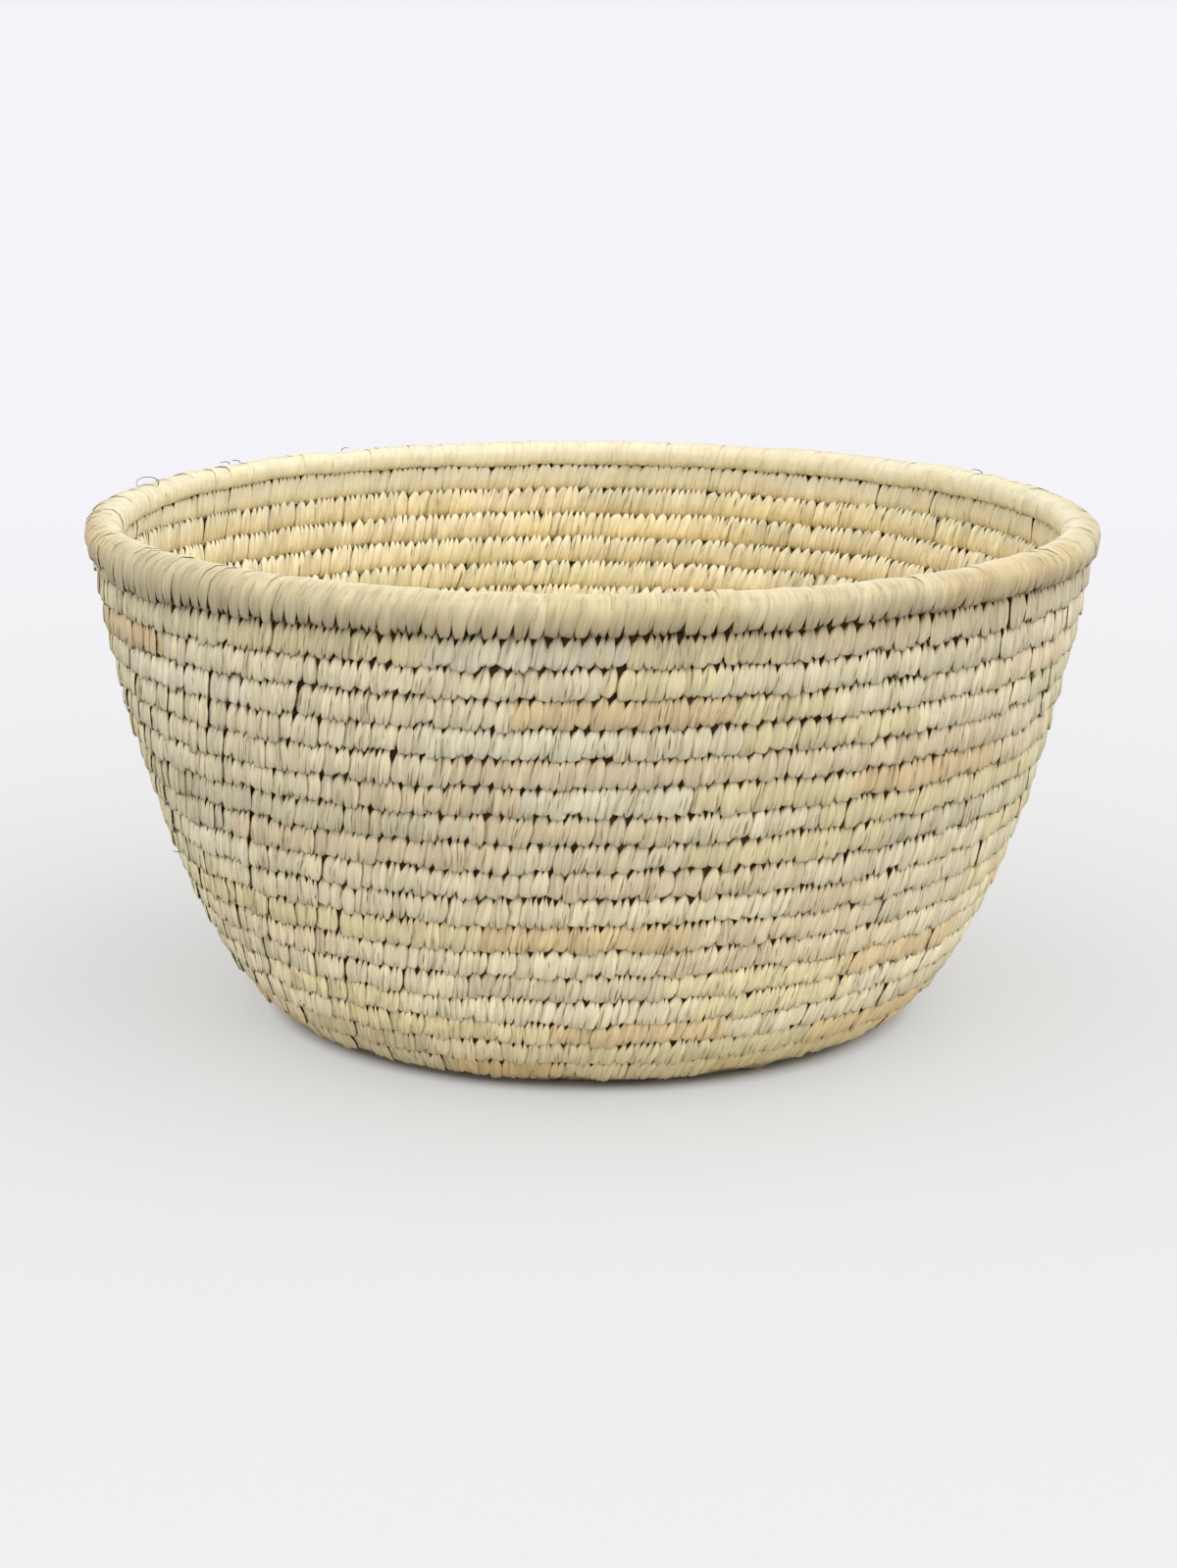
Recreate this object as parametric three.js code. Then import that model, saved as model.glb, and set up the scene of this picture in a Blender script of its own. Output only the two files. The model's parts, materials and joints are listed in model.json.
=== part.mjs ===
// A coiled basket of palm leaf.
//
// One long bundle of shredded leaf is wound in a rising spiral, from a knot at the
// middle of the base up to the rim. Split leaf strips wrap the bundle and sew each turn
// to the turn below it. The last turn of the wall thins out at its end, and a thicker turn
// on top of it is the rim, which is level all round.
//
// Millimetres, +Z up. The origin is the middle of the base, on the surface that the
// basket stands on.

import * as THREE from "three";

// Overall sizes
const rimDiameter = 350; // over the outside of the rim, where it is thickest
const height = 174; // from the table to the crest of the rim
const baseDiameter = 200; // of the flat disc that the basket stands on

// Shape of the wall, as one curve from the edge of the base to the crest of the rim
const baseRunOut = 33; // how strongly the curve leaves the base level
const rimRunDown = 58; // how strongly it reaches the rim along its lean
const rimLean = 6; // degrees that the rim leans out from upright

// The coil
const baseRows = 10; // turns of the flat base, round the knot
const wallRows = 18; // turns of the wall, below the rim
const unevenRise = 0.15; // share of a row's height by which the rise along a turn is uneven
const lastRowTip = 3.6; // height of the last wall row where it ends
const lastRowTaper = 0.2; // share of its turn over which it thins out
const coilThickness = 9; // through the wall
const stripThickness = 0.9; // of the leaf strips that lie over the bundle
const bundleClearance = 0.3; // between the bundle and the strips round it
const rowClearance = 0.3; // between one row and the next
const endClearance = 0.3; // between the end of one turn and the start of the next

// The rim
const rimHeight = 14.7; // of the rim where it starts
const rimThickness = 14; // through the rim where it starts
const rimTailThickness = 12.5; // through the rim where it ends

// The knot
const knotBevel = 2.2; // round its upper and lower edges

// Where every turn ends and the next one starts
const seamAngle = 204; // degrees from +X, anticlockwise seen from above

// Fineness of the facets
const innerTurns = 6; // the knot and the rows next to it, which have fewer facets
const innerTurnFacets = 11; // round each inner turn, and half of those round an outer turn
const coilSides = 6;
const bundleSides = 4;
const rimSides = 8;

// The middle surface of the coil, as a curve of radius and height

const baseRadius = baseDiameter / 2;
const lean = THREE.MathUtils.degToRad(rimLean);
const crest = new THREE.Vector2((rimDiameter - rimThickness) / 2, height);
const baseMiddle = new THREE.Vector2(0, coilThickness / 2);
const baseEdge = new THREE.Vector2(baseRadius, coilThickness / 2);

const middleSurface = new THREE.CurvePath();
middleSurface.add(new THREE.LineCurve(baseMiddle, baseEdge));
middleSurface.add(
  new THREE.CubicBezierCurve(
    baseEdge,
    new THREE.Vector2(baseEdge.x + baseRunOut, baseEdge.y),
    new THREE.Vector2(crest.x - rimRunDown * Math.sin(lean), crest.y - rimRunDown * Math.cos(lean)),
    crest,
  ),
);
const crestAlong = middleSurface.getLength();

// Turns: the knot, the base rows, the wall rows and the rim. The knot and the base rows
// share out the base, and the wall rows share out the wall below the start of the rim.

const knotTurn = 0;
const firstWallTurn = knotTurn + 1 + baseRows;
const rimTurn = firstWallTurn + wallRows;
const basePitch = baseRadius / firstWallTurn;
const wallPitch = (crestAlong - rimHeight - baseRadius) / wallRows;

// How far up the middle surface the spiral has come after so many turns. On the wall it
// rises more steeply near the seam than on the far side.
function alongAt(turns) {
  const wallTurns = Math.max(0, turns - firstWallTurn);
  const climbed = wallTurns + unevenRise * Math.sin(2 * Math.PI * wallTurns);
  return (turns - wallTurns) * basePitch + climbed * wallPitch;
}

// The top of a row at a station of its turn
function headAt(turn, station) {
  if (turn < rimTurn - 1) {
    return alongAt(turn + station + 1);
  }
  const thinned = THREE.MathUtils.smoothstep(station, 1 - lastRowTaper, 1);
  return alongAt(turn + station) + THREE.MathUtils.lerp(wallPitch, lastRowTip, thinned);
}

// Facets: an outer turn has two for every one of an inner turn, so that corners line up.
// Corners stand as far outside the true circle as the flats between them lie inside it.

const coarseFacets = Math.round(innerTurnFacets);
const fineFacets = 2 * coarseFacets;
const facetSwell = 2 / (1 + Math.cos(Math.PI / fineFacets));

function facetsOf(turn) {
  return turn < innerTurns ? coarseFacets : fineFacets;
}

// A point of the basket. `along` is the distance from the middle of the base up the
// middle surface, `turns` the turns made since the seam. `rise` and `out` are offsets
// from there, along the wall and square to it. The coil is pressed flat where it would
// reach below the table.
function place(along, turns, rise, out) {
  const share = along / crestAlong;
  const middle = middleSurface.getPoint(share);
  const up = middleSurface.getTangent(share);
  const radius = facetSwell * (middle.x + up.x * rise + up.y * out);
  const level = Math.max(0, middle.y + up.y * rise - up.x * out);
  const angle = THREE.MathUtils.degToRad(seamAngle) + 2 * Math.PI * turns;
  return new THREE.Vector3(radius * Math.cos(angle), radius * Math.sin(angle), level);
}

// A regular outline that reaches 1 each way. x is along the wall and y square to it.
function unitSection(sides, firstCorner) {
  const corners = Array.from({ length: sides }, (_, i) => {
    const angle = (2 * Math.PI * (i + firstCorner)) / sides;
    return new THREE.Vector2(Math.cos(angle), Math.sin(angle));
  });
  const reach = new THREE.Box2().setFromPoints(corners).max;
  return corners.map((corner) => corner.divide(reach));
}

const coilSection = unitSection(coilSides, 0); // ridges towards the rows above and below
const coilFoot = coilSides / 2; // the corner towards the row below
const bundleSection = unitSection(bundleSides, 0);
const rimSection = unitSection(rimSides, 0.5); // flat where it sits on the row below

// The stations of a turn, in turns since the seam. The first is held back from the end
// of the turn before by the clearance.
function stationsOf(turn) {
  const radius = middleSurface.getPoint(alongAt(turn + 0.5) / crestAlong).x;
  const held = endClearance / (2 * Math.PI * radius);
  const facets = facetsOf(turn);
  return Array.from({ length: facets + 1 }, (_, i) => (i === 0 ? held : i / facets));
}

// The coil at a station: its place up the wall, and half of its height and thickness
function coilAt(turn, station) {
  const foot = alongAt(turn + station) + rowClearance / 2;
  const head = headAt(turn, station) - rowClearance / 2;
  return {
    along: (foot + head) / 2,
    halfHeight: (head - foot) / 2,
    halfThickness: coilThickness / 2,
  };
}

// The rim at a station: it sits on the last wall row, and its crest is level
function rimAt(turn, station) {
  const foot = headAt(turn - 1, station) + rowClearance / 2;
  return {
    along: (foot + crestAlong) / 2,
    halfHeight: (crestAlong - foot) / 2,
    halfThickness: THREE.MathUtils.lerp(rimThickness, rimTailThickness, station) / 2,
  };
}

// The rings of a turn: at each station, the section's corners, `inset` inside the coil's face
function ringsOf(turn, sizeAt, section, inset) {
  return stationsOf(turn).map((station) => {
    const { along, halfHeight, halfThickness } = sizeAt(turn, station);
    return section.map((corner) =>
      place(along, station, corner.x * (halfHeight - inset), corner.y * (halfThickness - inset)),
    );
  });
}

// Triangles between two rings of points
function band(first, second, sides) {
  return Array.from({ length: sides }, (_, i) => {
    const next = (i + 1) % sides;
    return [first + i, second + i, second + next, first + i, second + next, first + next];
  }).flat();
}

// Triangles that close the end of a bar
function cap(first, sides) {
  return Array.from({ length: sides - 2 }, (_, i) => [first, first + i + 1, first + i + 2]).flat();
}

function solidFrom(points, triangles) {
  const geometry = new THREE.BufferGeometry().setFromPoints(points);
  geometry.setIndex(triangles);
  geometry.computeVertexNormals();
  return geometry;
}

// A solid bar through rings of points
function bar(rings) {
  const sides = rings[0].length;
  const triangles = [cap(0, sides).reverse()];
  for (let i = 0; i + 1 < rings.length; i += 1) {
    triangles.push(band((i + 1) * sides, i * sides, sides));
  }
  triangles.push(cap((rings.length - 1) * sides, sides));
  return solidFrom(rings.flat(), triangles.flat());
}

// A sleeve: outer rings, and the rings of the bore inside them
function sleeve(outerRings, boreRings) {
  const sides = outerRings[0].length;
  const bore = outerRings.length * sides;
  const last = (outerRings.length - 1) * sides;
  const triangles = [band(0, bore, sides)];
  for (let i = 0; i + 1 < outerRings.length; i += 1) {
    const here = i * sides;
    const next = here + sides;
    triangles.push(band(next, here, sides), band(bore + here, bore + next, sides));
  }
  triangles.push(band(bore + last, last, sides));
  return solidFrom([...outerRings.flat(), ...boreRings.flat()], triangles.flat());
}

// The strips of one turn, sewn side by side, make a sleeve round the bundle. The first
// outer turn rests its foot on the long facets of the inner turn beside it.
function wrapOf(turn) {
  const rings = ringsOf(turn, coilAt, coilSection, 0);
  if (turn === innerTurns) {
    for (let i = 1; i < rings.length; i += 2) {
      rings[i][coilFoot].lerpVectors(rings[i - 1][coilFoot], rings[i + 1][coilFoot], 0.5);
    }
  }
  return sleeve(rings, ringsOf(turn, coilAt, coilSection, stripThickness));
}

function rimWrap() {
  const bore = ringsOf(rimTurn, rimAt, rimSection, stripThickness);
  return sleeve(ringsOf(rimTurn, rimAt, rimSection, 0), bore);
}

const bundleInset = stripThickness + bundleClearance;

// The least distance between corners of a bundle that lie half a turn or more apart
function leastGapToItself(rings) {
  let least = Infinity;
  rings.forEach((ring, i) => {
    const others = rings.slice(i + coarseFacets).flat();
    ring.forEach((corner) => {
      const gaps = others.map((other) => corner.distanceTo(other));
      least = Math.min(least, ...gaps);
    });
  });
  return least;
}

// The bundle inside the strips, one unbroken bar through several turns
function bundleOf(name, firstTurn, lastTurn) {
  const rings = ringsOf(firstTurn, coilAt, bundleSection, bundleInset);
  for (let turn = firstTurn + 1; turn <= lastTurn; turn += 1) {
    rings.push(...ringsOf(turn, coilAt, bundleSection, bundleInset).slice(1));
  }
  console.log(name + ": least gap to itself " + leastGapToItself(rings).toFixed(2) + " mm");
  return bar(rings);
}

function rimBundle() {
  return bar(ringsOf(rimTurn, rimAt, rimSection, bundleInset));
}

// The knot that the spiral starts from: the first turn wound tight on itself. Its outline
// is a spiral, with a step where the next turn starts.
function startKnot() {
  const outline = stationsOf(knotTurn + 1).map((station) => {
    const edge = place(alongAt(knotTurn + 1 + station) - rowClearance / 2, station, 0, 0);
    return new THREE.Vector2(edge.x, edge.y);
  });
  const geometry = new THREE.ExtrudeGeometry(new THREE.Shape(outline), {
    depth: coilThickness - 2 * knotBevel,
    bevelThickness: knotBevel,
    bevelSize: knotBevel,
    bevelOffset: -knotBevel,
    bevelSegments: 1,
  });
  return geometry.translate(0, 0, knotBevel);
}

// Materials

const leafTones = ["#d9caa0", "#d3c192", "#cfb98a", "#d6cda6", "#cdb493"];

function leafStrip(turn) {
  return new THREE.MeshStandardMaterial({
    color: leafTones[turn % leafTones.length],
    roughness: 0.75,
    metalness: 0,
  });
}

const shreddedLeaf = new THREE.MeshStandardMaterial({
  color: "#8f7848",
  roughness: 0.9,
  metalness: 0,
});

// The basket

const basket = new THREE.Group();

function add(name, geometry, material) {
  const mesh = new THREE.Mesh(geometry, material);
  mesh.name = name;
  basket.add(mesh);
}

function addBundle(name, firstTurn, lastTurn) {
  add(name, bundleOf(name, firstTurn, lastTurn), shreddedLeaf);
}

function addWraps(name, firstTurn, lastTurn) {
  for (let turn = firstTurn; turn <= lastTurn; turn += 1) {
    const number = String(turn - firstTurn + 1).padStart(2, "0");
    add(name + "_" + number, wrapOf(turn), leafStrip(turn));
  }
}

add("start_knot", startKnot(), leafStrip(knotTurn));
addBundle("base_bundle", knotTurn + 1, firstWallTurn - 1);
addWraps("base_wrap", knotTurn + 1, firstWallTurn - 1);
addBundle("wall_bundle", firstWallTurn, rimTurn - 1);
addWraps("wall_wrap", firstWallTurn, rimTurn - 1);
add("rim_bundle", rimBundle(), shreddedLeaf);
add("rim_wrap", rimWrap(), leafStrip(rimTurn));

export default basket;
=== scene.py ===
"""A coiled palm leaf basket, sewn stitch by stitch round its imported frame."""

import bisect
import json
import math
import random
from collections import namedtuple
from types import SimpleNamespace

import bmesh
import bpy
from mathutils import Matrix, Vector
from mathutils.geometry import interpolate_bezier

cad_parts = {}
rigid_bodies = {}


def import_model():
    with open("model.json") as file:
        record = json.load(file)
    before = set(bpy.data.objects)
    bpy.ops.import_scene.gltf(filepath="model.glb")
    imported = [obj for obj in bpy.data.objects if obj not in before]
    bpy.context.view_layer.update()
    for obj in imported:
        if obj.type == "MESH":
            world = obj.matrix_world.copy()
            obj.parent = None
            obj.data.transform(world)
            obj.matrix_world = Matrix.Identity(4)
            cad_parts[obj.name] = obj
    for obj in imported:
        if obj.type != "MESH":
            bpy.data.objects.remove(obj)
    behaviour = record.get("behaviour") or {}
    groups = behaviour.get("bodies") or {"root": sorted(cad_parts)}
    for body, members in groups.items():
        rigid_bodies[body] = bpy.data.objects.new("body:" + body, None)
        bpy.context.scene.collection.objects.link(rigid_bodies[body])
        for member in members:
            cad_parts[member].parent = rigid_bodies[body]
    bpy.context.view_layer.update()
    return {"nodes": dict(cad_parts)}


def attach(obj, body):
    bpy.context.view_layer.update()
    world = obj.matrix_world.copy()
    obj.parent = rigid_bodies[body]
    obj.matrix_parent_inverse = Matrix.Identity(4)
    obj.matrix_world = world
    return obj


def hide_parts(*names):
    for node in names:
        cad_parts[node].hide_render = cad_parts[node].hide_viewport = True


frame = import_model()

bl_info = {
    "name": "Coiled Palm Leaf Basket",
    "version": (1, 0, 0),
    "blender": (4, 5, 0),
    "location": "View3D > Sidebar > Basket",
    "description": "Sews a coiled basket from leaf strips and sets it on a pale stage",
    "category": "Add Mesh",
}

BODY = "root"
BASE_ROWS = sum(name.startswith("base_wrap") for name in frame["nodes"])
WALL_ROWS = sum(name.startswith("wall_wrap") for name in frame["nodes"])
KNOT_TURN = 0
FIRST_WALL_TURN = KNOT_TURN + 1 + BASE_ROWS
RIM_TURN = FIRST_WALL_TURN + WALL_ROWS
LOW_ROWS = WALL_ROWS // 2
FULL_TURN = 2 * math.pi
CAMERA_FRAME_MM = 36

# A lamp: where it shines from, and the settings that hold its strength and its width
Lamp = namedtuple("Lamp", "name place strength width")
LAMPS = (
    Lamp("softbox overhead", Vector((0.15, -0.4, 1)), "key", "key_width"),
    Lamp("softbox on the right", Vector((1, -0.2, 0.5)), "right", "side_width"),
    Lamp("softbox on the left", Vector((-1, -0.2, 0.5)), "left", "side_width"),
)


def linear_from_hex(text):
    """The linear colour of an sRGB hex value."""
    channels = [int(text[i : i + 2], 16) / 255 for i in (1, 3, 5)]
    return tuple(c / 12.92 if c <= 0.04045 else ((c + 0.055) / 1.055) ** 2.4 for c in channels)


def length(name, description, metres):
    return bpy.props.FloatProperty(name=name, description=description, default=metres, unit="LENGTH")


def angle(name, description, degrees):
    return bpy.props.FloatProperty(
        name=name, description=description, default=math.radians(degrees), unit="ROTATION"
    )


def share(name, description, default):
    return bpy.props.FloatProperty(
        name=name, description=description, default=default, min=0, max=1, subtype="FACTOR"
    )


def amount(name, description, default):
    return bpy.props.FloatProperty(name=name, description=description, default=default)


def colour(name, description, hex_value):
    tint = linear_from_hex(hex_value)
    return bpy.props.FloatVectorProperty(
        name=name, description=description, default=tint, subtype="COLOR", min=0, max=1
    )


class BasketSizes(bpy.types.PropertyGroup):
    """The shape of the basket, as its frame has it."""

    rim_diameter: length("Rim Diameter", "Over the outside of the rim, where it is thickest", 0.350)
    height: length("Height", "From the table to the crest of the rim", 0.174)
    base_diameter: length("Base Diameter", "Of the flat disc that the basket stands on", 0.200)
    base_run_out: length("Base Run Out", "How strongly the wall's curve leaves the base level", 0.033)
    rim_run_down: length("Rim Run Down", "How strongly the wall's curve follows the rim's lean", 0.058)
    rim_lean: angle("Rim Lean", "How far the rim leans out from upright", 6)
    coil_thickness: length("Coil Thickness", "Through the wall", 0.009)
    rim_thickness: length("Rim Thickness", "Through the rim where it starts", 0.014)
    rim_tail_thickness: length("Rim Tail Thickness", "Through the rim where it ends", 0.0125)
    rim_height: length("Rim Height", "Of the rim where it starts", 0.0147)
    last_row_tip: length("Last Row Tip", "Height of the last wall row where it ends", 0.0036)
    last_row_taper: share("Last Row Taper", "Share of its turn over which the last wall row thins out", 0.2)
    uneven_rise: share("Uneven Rise", "Share of a row's height by which its rise is uneven", 0.15)
    seam_angle: angle("Seam Angle", "Where every turn ends, anticlockwise from +X", 204)


class StitchSizes(bpy.types.PropertyGroup):
    """How the leaf strips are sewn."""

    base_spacing: length("Base Spacing", "From stitch to stitch on the base", 0.0040)
    wall_spacing: length("Wall Spacing", "From stitch to stitch below the rim", 0.0047)
    rim_spacing: length("Rim Spacing", "From stitch to stitch on the rim", 0.0045)
    crown: length("Crown", "How far a stitch stands up in its middle", 0.0012)
    rim_crown: length("Rim Crown", "How far a rim stitch stands up in its middle", 0.0003)
    lap_tilt: angle("Lap Tilt", "How far a stitch tilts to lap over the next", 4)
    rim_lap_tilt: angle("Rim Lap Tilt", "How far a rim stitch tilts to lap over the next", 0.8)
    rim_looseness: share("Rim Looseness", "How loosely the rim is bound, beside the rows", 0.5)
    outer_lean: angle("Outer Lean", "Of a stitch on the outside", 11)
    inner_lean: angle("Inner Lean", "Of a stitch on the inside", 14)
    rim_inner_lean: angle("Rim Inner Lean", "Of a rim stitch on the inside", 7)
    width_spread: share("Width Spread", "How far stitches differ in width", 0.05)
    splay: angle("Splay", "How far the strands of a split strip part", 12)
    lean_spread: angle("Lean Spread", "How far stitches differ in lean", 4)
    strip_length: length("Strip Length", "Of coil that one leaf strip covers", 0.058)
    stray: length("Stray", "How far a stitch may be out of line", 0.0003)
    wobble: length("Wobble", "How far the sewing strays from true", 0.0024)
    wobble_size: length("Wobble Size", "Over what distance it strays", 0.022)
    seed: bpy.props.IntProperty(name="Seed", description="Of all that differs by chance", default=7)


class LeafColours(bpy.types.PropertyGroup):
    """The tones of dried palm leaf."""

    cream: colour("Cream", "The commonest strips", "#e7dbb8")
    straw: colour("Straw", "Yellower strips", "#e4d6aa")
    tan: colour("Tan", "Strips browned by the sun", "#dfc89c")
    rose: colour("Rose", "Strips with a pink cast", "#e3d2ae")
    sage: colour("Sage", "Strips cut a little green", "#e0d8b0")
    grey: colour("Grey", "Weathered strips", "#d9ceac")
    pale: colour("Pale", "Bleached strips", "#eae1c2")
    honey: colour("Honey", "Strips that bind the rim, outside", "#e3d09e")
    stain: colour("Stain", "Where a strip is browned", "#b99a66")
    # Slit is also the colour of the painted shade along strip edges and ends
    slit_and_edge_shade: colour("Slit", "Where a strip is split along its fibres", "#6e5029")
    # The bundle is painted dark, as the shade in the gaps between the stitches where it shows
    bundle: colour("Bundle", "The shredded leaf inside the strips", "#4d381b")
    # Golden is painted shade at the foot of each inner row, and a tint towards the table outside
    golden_painted_shade_and_foot: colour("Golden", "Where a strip is rubbed or sheltered", "#d3b778")


class StageSettings(bpy.types.PropertyGroup):
    """Where the basket is seen from, and on what."""

    camera_distance: length("Camera Distance", "From the axis of the basket", 1.100)
    camera_height: length("Camera Height", "Above the table", 0.345)
    camera_side: length("Camera Side", "Left of the axis", 0.0008)
    camera_pitch: angle("Camera Pitch", "Below level", 13.79)
    camera_roll: angle("Camera Roll", "Anticlockwise", 0.27)
    lens_mm: amount("Lens", "In mm, on a 36 mm frame", 73.6)
    key: amount("Key", "Strength of the soft light overhead", 1.45)
    key_width: angle("Key Width", "How wide the soft light spreads", 90)
    right: amount("Right", "Strength of the light on the right", 1.5)
    left: amount("Left", "Strength of the light on the left", 1.08)
    side_width: angle("Side Width", "How wide the lights at the sides spread", 120)
    fill: amount("Fill", "Strength of the light all round", 0.7)
    floor: colour("Floor", "Of the pale board near the basket, as it is seen", "#efefef")
    floor_glow: share("Floor Glow", "Share of the board's colour that no shadow takes away", 0.5)
    distance: colour("Distance", "Of the board far off, and beyond it, as it is seen", "#f4f3f9")
    surround: colour("Surround", "Of the light all round", "#f7f6f5")


Spot = namedtuple("Spot", "centre up out half_height half_thickness")


class Coil:
    """The spiral that the coil follows. Turns are counted from the middle of the base."""

    BEZIER_POINTS = 400
    SLOPE_STEP = 0.0005

    def __init__(self, sizes):
        self.sizes = sizes
        level = sizes.coil_thickness / 2
        self.base_radius = sizes.base_diameter / 2
        edge = Vector((self.base_radius, level))
        crest = Vector(((sizes.rim_diameter - sizes.rim_thickness) / 2, sizes.height))
        lean = Vector((math.sin(sizes.rim_lean), math.cos(sizes.rim_lean)))
        leave = edge + Vector((sizes.base_run_out, 0))
        arrive = crest - lean * sizes.rim_run_down
        wall = interpolate_bezier(edge, leave, arrive, crest, self.BEZIER_POINTS)
        self.profile = [Vector((0, level)), *wall]
        self.reached = [0.0]
        for before, after in zip(self.profile, self.profile[1:]):
            self.reached.append(self.reached[-1] + (after - before).length)
        self.crest_along = self.reached[-1]
        self.base_pitch = self.base_radius / FIRST_WALL_TURN
        self.wall_pitch = (self.crest_along - sizes.rim_height - self.base_radius) / WALL_ROWS

    def along(self, turns):
        """How far up the profile the spiral has come after so many turns."""
        wall_turns = max(0, turns - FIRST_WALL_TURN)
        climbed = wall_turns + self.sizes.uneven_rise * math.sin(FULL_TURN * wall_turns)
        return (turns - wall_turns) * self.base_pitch + climbed * self.wall_pitch

    def head(self, turn, station):
        """The top of a row. The last row of the wall thins out at its end."""
        if turn < RIM_TURN - 1:
            return self.along(turn + station + 1)
        if turn == RIM_TURN:
            return self.crest_along
        done = max(0, (station - 1) / self.sizes.last_row_taper + 1)
        thinned = done * done * (3 - 2 * done)
        row_height = self.wall_pitch + (self.sizes.last_row_tip - self.wall_pitch) * thinned
        return self.along(turn + station) + row_height

    def point(self, along):
        """Radius and level on the profile, run on in a straight line past its ends."""
        after = min(max(bisect.bisect(self.reached, along), 1), len(self.profile) - 1)
        start, end = self.reached[after - 1], self.reached[after]
        return self.profile[after - 1].lerp(self.profile[after], (along - start) / (end - start))

    def radius(self, turn):
        return self.point(self.along(turn + 1)).x

    def spot(self, turn, station):
        """The middle of the coil at a share of a turn, its two directions and its half sizes."""
        sizes = self.sizes
        foot = self.along(turn + station)
        head = self.head(turn, station)
        thickness = sizes.coil_thickness
        if turn == RIM_TURN:
            foot = self.head(turn - 1, station)
            thickness = sizes.rim_thickness
            thickness += (sizes.rim_tail_thickness - sizes.rim_thickness) * station
        middle = (foot + head) / 2
        flat = self.point(middle)
        slope = self.point(middle + self.SLOPE_STEP) - self.point(middle - self.SLOPE_STEP)
        slope.normalize()
        turned = sizes.seam_angle + FULL_TURN * station
        radial = Vector((math.cos(turned), math.sin(turned), 0))
        upright = Vector((0, 0, 1))
        return Spot(
            radial * flat.x + upright * flat.y,
            radial * slope.x + upright * slope.y,
            radial * slope.y - upright * slope.x,
            (head - foot) / 2,
            thickness / 2,
        )


# The line of a stitch, from its outer end, over the coil, to its inner end. Rise is in
# halves of the row's height, out in halves of its thickness, width in stitch spacings and
# crown in shares of the full crown.

Bend = namedtuple("Bend", "rise out width crown")

INNER_HALF = (
    Bend(1.12, 0.00, 0.50, 0.8),  # over the bundle
    Bend(1.24, -0.78, 0.24, 0.8),  # the point of the tooth inside
    Bend(1.02, -1.03, 0.70, 1.0),
    Bend(0.62, -1.09, 1.04, 1.0),
    Bend(0.10, -1.07, 1.16, 0.9),
    Bend(-0.36, -1.02, 1.20, 0.8),  # inner belly
    Bend(-0.80, -0.90, 1.18, 0.8),
    Bend(-1.04, -0.66, 1.06, 1.0),
    Bend(-1.15, -0.58, 0.96, 1.0),  # behind the teeth below
)

ROW_STITCH = (
    Bend(-1.26, 0.60, 0.44, 0.9),  # tucked in between the stitches below
    Bend(-1.21, 1.05, 0.72, 0.9),
    Bend(-1.00, 1.14, 1.00, 0.8),
    Bend(-0.62, 1.11, 1.20, 0.7),
    Bend(-0.20, 1.05, 1.24, 0.7),  # outer belly
    Bend(0.20, 0.98, 1.12, 0.8),
    Bend(0.58, 0.88, 0.84, 0.9),
    Bend(0.94, 0.68, 0.46, 1.0),  # under the ends of the row above
) + INNER_HALF

# Lower down the strips are drawn flatter.
LOW_STITCH = (
    Bend(-1.26, 0.66, 0.54, 0.7),
    Bend(-1.22, 1.05, 0.74, 0.6),
    Bend(-1.02, 1.12, 1.00, 0.6),
    Bend(-0.62, 1.09, 1.19, 0.6),
    Bend(-0.20, 1.02, 1.21, 0.6),
    Bend(0.20, 0.96, 1.08, 0.7),
    Bend(0.58, 0.87, 0.72, 0.8),
    Bend(0.94, 0.65, 0.34, 0.9),
) + INNER_HALF

RIM_STITCH = (
    Bend(-0.98, 0.50, 0.42, 1.0),  # tucked in between the stitches below
    Bend(-0.93, 0.84, 0.64, 1.0),
    Bend(-0.74, 0.96, 0.83, 1.0),
    Bend(-0.38, 1.01, 1.03, 0.9),
    Bend(0.04, 1.01, 1.24, 0.7),  # outer face
    Bend(0.50, 0.90, 1.34, 0.6),
    Bend(0.84, 0.56, 1.36, 0.5),
    Bend(0.97, 0.00, 1.36, 0.5),  # crest
    Bend(0.84, -0.56, 1.36, 0.5),
    Bend(0.50, -0.90, 1.36, 0.5),
    Bend(0.00, -1.01, 1.32, 0.6),  # inner face
    Bend(-0.56, -0.98, 1.16, 0.8),
    Bend(-0.92, -0.84, 0.98, 1.0),
    Bend(-1.06, -0.46, 0.74, 1.0),  # behind the teeth below
)

# The base is pressed flat by what the basket has carried.
PRESSED = 0.84
BASE_STITCH = tuple(bend._replace(out=min(bend.out, PRESSED)) for bend in LOW_STITCH)

# Points across a strip, in halves of its width, and the share of the inner ones that are
# creased. The strands of a split strip keep apart by a least share of the stitch spacing. The
# first bends of a strip are ragged, and its very end, tucked in between the stitches below, is
# darkened with painted shade.
ACROSS = (-1.0, -0.7, 0.7, 1.0)
CREASED = 0.55
LEAST_SPREAD = 0.85
RAGGED_END = (0, 1, 2)
END_PAINTED_SHADE = (1.0, 0.9)

# How far stitches of one kind differ: crown and tilt by a factor, skew in stitch spacings,
# reach and rag in halves of the row's height, folds in crowns, the pinch of narrow places by a
# factor, and each bend in its own units.
CROWN_RANGE = (0.7, 1.3)
TILT_RANGE = (0.4, 1.4)
SKEW = 0.08
REACH = 0.2
RAG = 0.14
FOLD_RANGE = (-0.2, 0.5)
PINCH = 0.8
BEND_STRAY = Bend(0.05, 0.02, 0.04, 0)

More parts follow.
